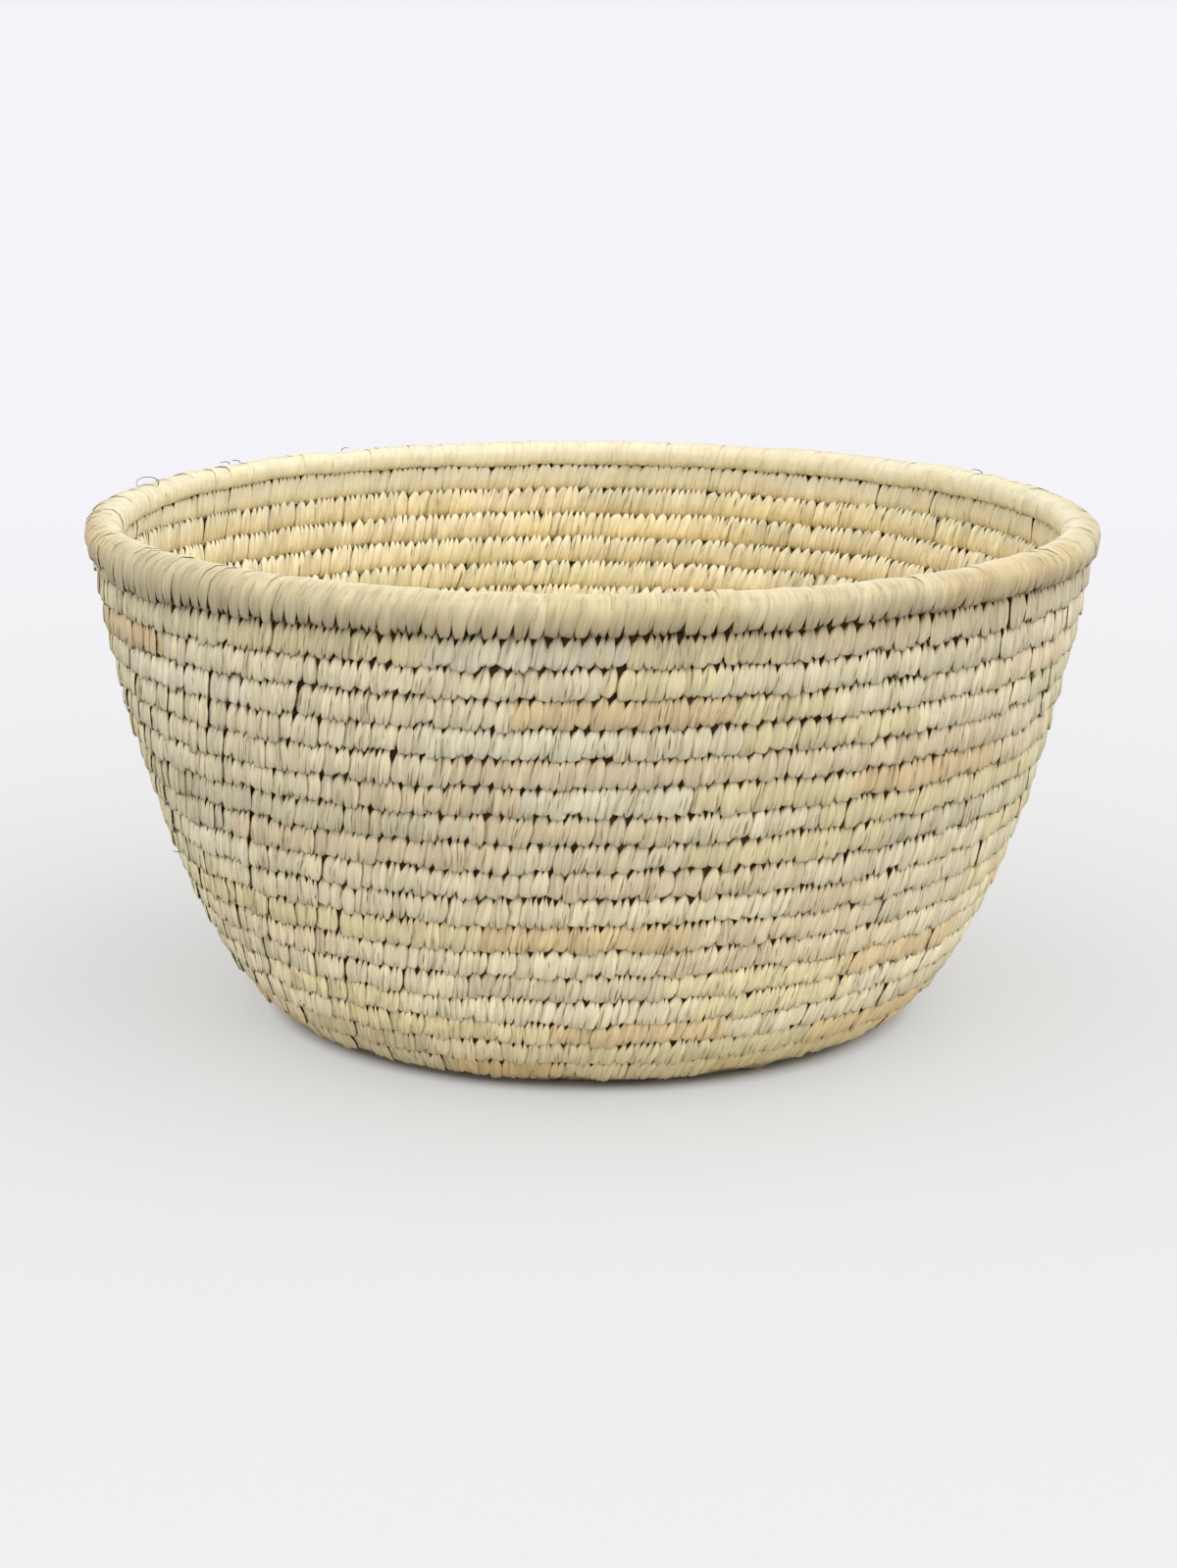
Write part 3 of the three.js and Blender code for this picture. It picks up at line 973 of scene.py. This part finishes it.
def shredded_leaf(tree):
    """Shredded palm leaf packed in a bundle: rough, dark and uneven. The dark colour is painted shade, for
    the gaps between the stitches where the bundle shows.
    """
    place = add_node(tree, "ShaderNodeTexCoord", output="Object")
    waves = {"Vector": place, "Scale": 1 / THREAD_SIZE, "Detail": 2.0}
    threads = add_node(tree, "ShaderNodeTexNoise", waves, output="Fac")
    light = add_node(tree, "ShaderNodeMapRange", {"Value": threads, "To Min": 0.5, "To Max": 1.3})
    # Dark as painted shade, for the gaps between the stitches
    lit = {0: tuple(bpy.context.scene.leaf_colours.bundle), "Scale": light}
    relief = {"Height": threads, "Strength": 0.8, "Distance": 0.0005}
    surface = {
        "Base Color": add_node(tree, "ShaderNodeVectorMath", lit, operation="SCALE"),
        "Roughness": 0.9,
        "IOR": LEAF_IOR,
        "Normal": add_node(tree, "ShaderNodeBump", relief),
    }
    return add_node(tree, "ShaderNodeBsdfPrincipled", surface)


def seen_directly(tree):
    """1 for what the camera sees itself or in a gloss or a glass, and 0 for light on its way."""
    rays = add_node(tree, "ShaderNodeLightPath").node.outputs
    seen = rays["Is Camera Ray"]
    for other in ("Is Glossy Ray", "Is Transmission Ray"):
        seen = add_node(tree, "ShaderNodeMath", {0: seen, 1: rays[other]}, operation="MAXIMUM")
    return seen


def painted_floor(tree):
    """Matt pale board, a little cooler and paler in the distance, coloured as it is seen when lit.
    Part of that colour shows whatever falls on the board, so shadows on it stay light."""
    near = 0.3
    far_off = 1.2
    full_shadow = 0.007  # beyond the foot of the basket
    light_shadow = 0.016
    settings = bpy.context.scene.stage_settings
    steepness = {lamp.strength: lamp.place.normalized().z for lamp in LAMPS}
    level = settings.fill + sum(getattr(settings, name) * z / math.pi for name, z in steepness.items())
    place = add_node(tree, "ShaderNodeTexCoord", output="Object")
    from_axis = add_node(tree, "ShaderNodeVectorMath", {0: place}, output="Value", operation="LENGTH")
    reach = {"Value": from_axis, "From Min": near, "From Max": far_off}
    far = add_node(tree, "ShaderNodeMapRange", reach)
    tones = {"Factor": far, 6: (*settings.floor, 1), 7: (*settings.distance, 1)}
    seen = add_node(tree, "ShaderNodeMix", tones, output=2, data_type="RGBA")
    pale = add_node(tree, "ShaderNodeVectorMath", {0: seen, "Scale": 1 / level}, operation="SCALE")
    board = add_node(tree, "ShaderNodeBsdfDiffuse", {"Color": pale})
    glow = add_node(tree, "ShaderNodeEmission", {"Color": seen, "Strength": 1.0})
    foot = bpy.context.scene.basket_sizes.base_diameter / 2
    shadow = {
        "Value": from_axis,
        "From Min": foot + full_shadow,
        "From Max": foot + light_shadow,
        "To Max": settings.floor_glow,
    }
    clear = add_node(tree, "ShaderNodeMapRange", shadow)
    lifted = add_node(tree, "ShaderNodeMath", {0: seen_directly(tree), 1: clear}, operation="MULTIPLY")
    return add_node(tree, "ShaderNodeMixShader", {0: lifted, 1: board, 2: glow})


FINISHES = {
    "Dried Palm Leaf": palm_leaf,
    "Shredded Palm Leaf": shredded_leaf,
    "White Board": painted_floor,
}


def finish(name):
    """A material by its name, made when it is first asked for."""
    found = bpy.data.materials.get(name)
    if found is None:
        found = bpy.data.materials.new(name)
        found.use_nodes = True
        found.node_tree.nodes.clear()
        shader = FINISHES[name](found.node_tree)
        add_node(found.node_tree, "ShaderNodeOutputMaterial", {"Surface": shader})
    return found


# Pieces

# How far a bundle fills its turn, in shares of half its height and half its thickness, and
# how far it hangs below the turn's middle.
Fill = namedtuple("Fill", "height thickness hang")
ROW_FILL = Fill(1.06, 0.64, 0)
RIM_FILL = Fill(0.92, 0.74, 0.16)


def bundle_mesh(name, coil, first_turn, last_turn):
    """One unbroken bar of shredded leaf through several turns."""
    steps_per_turn = 72
    sides = 10
    fill = ROW_FILL if last_turn < RIM_TURN else RIM_FILL
    made = bmesh.new()
    rings = []
    for step in range((last_turn - first_turn + 1) * steps_per_turn + 1):
        turn = min(first_turn + step // steps_per_turn, last_turn)
        spot = coil.spot(turn, step / steps_per_turn - (turn - first_turn))
        ring = []
        for side in range(sides):
            way = FULL_TURN * side / sides
            rise = spot.up * ((math.cos(way) * fill.height - fill.hang) * spot.half_height)
            out = spot.out * (math.sin(way) * fill.thickness * spot.half_thickness)
            ring.append(made.verts.new(spot.centre + rise + out))
        rings.append(ring)
    join_rings(made, rings)
    for face in made.faces:
        face.smooth = True
    return mesh_from(made, name)


def rolled_leaf_mesh(name, coil):
    """A strip of leaf rolled up tight, in the eye of the spiral."""
    turns = 4
    steps_per_turn = 20
    core_steps = 2
    strip_thickness = 0.0012
    eye_turn = 0.88
    eye_radius = 0.35 * coil.base_pitch
    roll_radius = 0.70 * coil.base_pitch
    half_width = 0.40 * coil.sizes.coil_thickness
    dome = 0.0007
    section = ((-0.5, -0.8), (0, -1), (0.5, -0.8), (0.5, 0.8), (0, 1), (-0.5, 0.8))
    turned = coil.sizes.seam_angle + FULL_TURN * eye_turn
    eye = Vector((math.cos(turned), math.sin(turned), 0)) * eye_radius
    eye.z = coil.sizes.coil_thickness / 2
    made = bmesh.new()
    uv = made.loops.layers.uv.new("strip")
    places, rings = {}, []
    steps = turns * steps_per_turn
    for step in range(steps + 1):
        way = FULL_TURN * step / steps_per_turn
        radius = roll_radius * (step + core_steps) / (steps + core_steps)
        outward = Vector((math.cos(way), math.sin(way), 0))
        width = half_width + dome * (1 - step / steps)
        ring = []
        for aside, rise in section:
            ring.append(made.verts.new(eye + outward * (radius + aside * strip_thickness)))
            ring[-1].co.z += rise * width
            places[ring[-1]] = (rise * width, radius * way / 2)
        rings.append(ring)
    join_rings(made, rings)
    bmesh.ops.recalc_face_normals(made, faces=made.faces)
    for face in made.faces:
        for loop in face.loops:
            loop[uv].uv = places[loop.vert]
    mesh = mesh_from(made, name)
    mesh.materials.append(finish("Dried Palm Leaf"))
    return mesh


# A fibre that has worked loose: its turn and station, the ways at which it leaves the coil's
# section and ends, in degrees (0 out of the basket, 90 up, 180 in), how far it runs along the
# coil, how far it stands off, and how far off it ends.
LooseEnd = namedtuple("LooseEnd", "turn station way end_way reach rise drop")

RIM_LOOPS = (
    LooseEnd(RIM_TURN, 0.886, 132, 56, 0.0010, 0.0058, -0.0004),
    LooseEnd(RIM_TURN, 0.833, 84, 70, 0.0030, 0.0016, 0.0012),
    LooseEnd(RIM_TURN, 0.829, 98, 88, 0.0034, 0.0014, 0.0014),
    LooseEnd(RIM_TURN, 0.782, 100, 84, -0.0040, 0.0014, 0.0006),
    LooseEnd(RIM_TURN, 0.518, 88, 100, 0.0046, 0.0012, 0.0006),
)


def wall_whiskers(stitch_sizes):
    """Short ends that stand off the outside of the wall here and there."""
    count = 34
    way_range = (-75, -20)
    bend_range = (-20, 20)
    reach_range = (-0.0040, 0.0040)
    rise_range = (0.0012, 0.0026)
    drop_range = (-0.2, 1.2)
    chance = random.Random(stitch_sizes.seed)
    whiskers = []
    for _ in range(count):
        turn = chance.randrange(FIRST_WALL_TURN, RIM_TURN)
        way = chance.uniform(*way_range)
        end_way = way + chance.uniform(*bend_range)
        reach = chance.uniform(*reach_range)
        rise = chance.uniform(*rise_range)
        drop = rise * chance.uniform(*drop_range)
        whiskers.append(LooseEnd(turn, chance.random(), way, end_way, reach, rise, drop))
    return whiskers


def on_coil(spot, way):
    """A point just under the coil's surface, and the direction off the coil there."""
    depth = 0.96
    out = spot.out * math.cos(math.radians(way))
    up = spot.up * math.sin(math.radians(way))
    surface = out * spot.half_thickness + up * spot.half_height
    return spot.centre + surface * depth, out + up


def add_fibre(mesh, coil, end):
    """Adds one thin closed fibre, rooted in the coil, to a mesh in the making."""
    points = 10
    sides = 5
    root_radius = 0.00019
    tip_radius = 0.00009
    spot = coil.spot(end.turn, end.station)
    along = spot.up.cross(spot.out) * end.reach
    root, off = on_coil(spot, end.way)
    far, off_again = on_coil(spot, end.end_way)
    far += along
    route = interpolate_bezier(
        root, root + off * end.rise, far + off_again * end.rise, far + off_again * end.drop, points
    )
    across = (route[1] - route[0]).orthogonal()
    rings = []
    for i, point in enumerate(route):
        ahead = route[min(i + 1, points - 1)] - route[max(i - 1, 0)]
        across = (across - across.project(ahead)).normalized()
        upward = ahead.normalized().cross(across)
        radius = root_radius + (tip_radius - root_radius) * i / (points - 1)
        ring = []
        for side in range(sides):
            way = FULL_TURN * side / sides
            around = across * math.cos(way) + upward * math.sin(way)
            ring.append(mesh.verts.new(point + around * radius))
        rings.append(ring)
    join_rings(mesh, rings)


def sew_rows(context, first_turn, nodes, sewing_of):
    """Sews one turn for each node, with stitches made to the first turn's size."""
    coil = Coil(context.scene.basket_sizes)
    stitch_sizes = context.scene.stitch_sizes
    model = coil.spot(first_turn, 0)
    sewing = sewing_of(stitch_sizes)
    for turn, node in enumerate(nodes, first_turn):
        spacing = stitch_spacing(stitch_sizes, turn)
        sew_turn(node, coil, turn, spacing, model, sewing, stitch_sizes)


def numbered(name, count):
    return [f"{name}_{number:02d}" for number in range(1, count + 1)]


def stitch_spacing(sizes, turn):
    """From stitch to stitch: close on the base, wider up the wall, and its own on the rim."""
    if turn == RIM_TURN:
        return sizes.rim_spacing
    climbed = min(1, max(0, turn - FIRST_WALL_TURN) / LOW_ROWS)
    return sizes.base_spacing + (sizes.wall_spacing - sizes.base_spacing) * climbed


class BASKET_OT_lay_bundle(bpy.types.Operator):
    """Lays the bundle of shredded leaf inside the base, the wall and the rim"""

    bl_idname = "basket.lay_bundle"
    bl_label = "Lay Bundle"

    def execute(self, context):
        coil = Coil(context.scene.basket_sizes)
        stretches = {
            "base_bundle": (KNOT_TURN, FIRST_WALL_TURN - 1),
            "wall_bundle": (FIRST_WALL_TURN, RIM_TURN - 1),
            "rim_bundle": (RIM_TURN, RIM_TURN),
        }
        sizes = context.scene.stitch_sizes
        values = {
            "Leaf": finish("Shredded Palm Leaf"),
            "Wobble": sizes.wobble,
            "Wobble Size": sizes.wobble_size,
        }
        tree = bundle_tree()
        for node, (first_turn, last_turn) in stretches.items():
            piece = add_piece(node + "_leaf", bundle_mesh(node, coil, first_turn, last_turn))
            settled_mesh(piece, tree, values)
            set_in_place(piece, node)
        return {"FINISHED"}


class BASKET_OT_tie_knot(bpy.types.Operator):
    """Ties the knot that the coil starts from"""

    bl_idname = "basket.tie_knot"
    bl_label = "Tie Knot"

    def execute(self, context):
        sew_rows(context, KNOT_TURN, ["start_knot"], base_sewing)
        coil = Coil(context.scene.basket_sizes)
        core = add_piece("start_knot_core", rolled_leaf_mesh("start_knot_core", coil))
        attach(core, BODY)
        return {"FINISHED"}


class BASKET_OT_sew_base(bpy.types.Operator):
    """Sews the turns of the flat base"""

    bl_idname = "basket.sew_base"
    bl_label = "Sew Base"

    def execute(self, context):
        sew_rows(context, KNOT_TURN + 1, numbered("base_wrap", BASE_ROWS), base_sewing)
        return {"FINISHED"}


class BASKET_OT_sew_wall(bpy.types.Operator):
    """Sews the turns of the wall"""

    bl_idname = "basket.sew_wall"
    bl_label = "Sew Wall"

    def execute(self, context):
        nodes = numbered("wall_wrap", WALL_ROWS)
        sew_rows(context, FIRST_WALL_TURN, nodes[:1], base_sewing)
        sew_rows(context, FIRST_WALL_TURN + 1, nodes[1:LOW_ROWS], low_sewing)
        sew_rows(context, FIRST_WALL_TURN + LOW_ROWS, nodes[LOW_ROWS:], row_sewing)
        return {"FINISHED"}


class BASKET_OT_bind_rim(bpy.types.Operator):
    """Binds the rim with close strips"""

    bl_idname = "basket.bind_rim"
    bl_label = "Bind Rim"

    def execute(self, context):
        sew_rows(context, RIM_TURN, ["rim_wrap"], rim_sewing)
        return {"FINISHED"}


class BASKET_OT_leave_loose_ends(bpy.types.Operator):
    """Leaves a few fibres standing off the rim and the wall"""

    bl_idname = "basket.leave_loose_ends"
    bl_label = "Leave Loose Ends"

    def execute(self, context):
        coil = Coil(context.scene.basket_sizes)
        made = bmesh.new()
        for end in (*RIM_LOOPS, *wall_whiskers(context.scene.stitch_sizes)):
            add_fibre(made, coil, end)
        mesh = mesh_from(made, "loose_fibres")
        mesh.materials.append(finish("Shredded Palm Leaf"))
        piece = add_piece("loose_fibres", mesh)
        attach(piece, BODY)
        return {"FINISHED"}


class BASKET_OT_set_stage(bpy.types.Operator):
    """Sets the pale board, the soft light and the camera"""

    bl_idname = "basket.set_stage"
    bl_label = "Set Stage"

    def execute(self, context):
        settings = context.scene.stage_settings
        self.lay_floor()
        self.hang_lights(context, settings)
        self.place_camera(context, settings)
        context.scene.view_settings.view_transform = "Standard"
        return {"FINISHED"}

    def lay_floor(self):
        half_width = 40.0
        corners = [(x * half_width, y * half_width, 0) for x, y in ((-1, -1), (1, -1), (1, 1), (-1, 1))]
        mesh = bpy.data.meshes.new("floor")
        mesh.from_pydata(corners, [], [(0, 1, 2, 3)])
        mesh.materials.append(finish("White Board"))
        add_piece("floor", mesh)

    def hang_lights(self, context, settings):
        world = bpy.data.worlds.new("Surround")
        context.scene.world = world
        world.use_nodes = True
        tree = world.node_tree
        tree.nodes.clear()
        lit = {"Color": (*settings.surround, 1), "Strength": settings.fill}
        soft = add_node(tree, "ShaderNodeBackground", lit)
        beyond = {"Color": (*settings.distance, 1), "Strength": 1.0}
        seen = add_node(tree, "ShaderNodeBackground", beyond)
        both = add_node(tree, "ShaderNodeMixShader", {0: seen_directly(tree), 1: soft, 2: seen})
        add_node(tree, "ShaderNodeOutputWorld", {"Surface": both})
        for lamp in LAMPS:
            data = bpy.data.lights.new(lamp.name, "SUN")
            data.energy = getattr(settings, lamp.strength)
            data.angle = getattr(settings, lamp.width)
            hung = bpy.data.objects.new(lamp.name, data)
            hung.rotation_euler = lamp.place.to_track_quat("Z", "Y").to_euler()
            context.scene.collection.objects.link(hung)

    def place_camera(self, context, settings):
        data = bpy.data.cameras.new("camera")
        data.sensor_width = CAMERA_FRAME_MM
        data.lens = settings.lens_mm
        camera = bpy.data.objects.new("camera", data)
        tilt = Matrix.Rotation(math.pi / 2 - settings.camera_pitch, 4, "X")
        roll = Matrix.Rotation(settings.camera_roll, 4, "Z")
        place = Vector((-settings.camera_side, -settings.camera_distance, settings.camera_height))
        camera.matrix_world = Matrix.Translation(place) @ tilt @ roll
        context.scene.collection.objects.link(camera)
        context.scene.camera = camera


class BASKET_PT_panel(bpy.types.Panel):
    bl_label = "Coiled Basket"
    bl_idname = "BASKET_PT_panel"
    bl_space_type = "VIEW_3D"
    bl_region_type = "UI"
    bl_category = "Basket"

    def draw(self, context):
        for group in GROUPS:
            settings = getattr(context.scene, group)
            for name in settings.__annotations__:
                self.layout.prop(settings, name)
        for operator in OPERATORS:
            self.layout.operator(operator.bl_idname)


GROUPS = {
    "basket_sizes": BasketSizes,
    "stitch_sizes": StitchSizes,
    "leaf_colours": LeafColours,
    "stage_settings": StageSettings,
}
OPERATORS = (
    BASKET_OT_lay_bundle,
    BASKET_OT_tie_knot,
    BASKET_OT_sew_base,
    BASKET_OT_sew_wall,
    BASKET_OT_bind_rim,
    BASKET_OT_leave_loose_ends,
    BASKET_OT_set_stage,
)
CLASSES = (*GROUPS.values(), *OPERATORS, BASKET_PT_panel)


def register():
    for each in CLASSES:
        bpy.utils.register_class(each)
    for name, group in GROUPS.items():
        setattr(bpy.types.Scene, name, bpy.props.PointerProperty(type=group))


def unregister():
    for name in GROUPS:
        delattr(bpy.types.Scene, name)
    for each in reversed(CLASSES):
        bpy.utils.unregister_class(each)


def main():
    register()
    bpy.ops.basket.lay_bundle()
    bpy.ops.basket.tie_knot()
    bpy.ops.basket.sew_base()
    bpy.ops.basket.sew_wall()
    bpy.ops.basket.bind_rim()
    bpy.ops.basket.leave_loose_ends()
    bpy.ops.basket.set_stage()


if __name__ == "__main__":
    main()
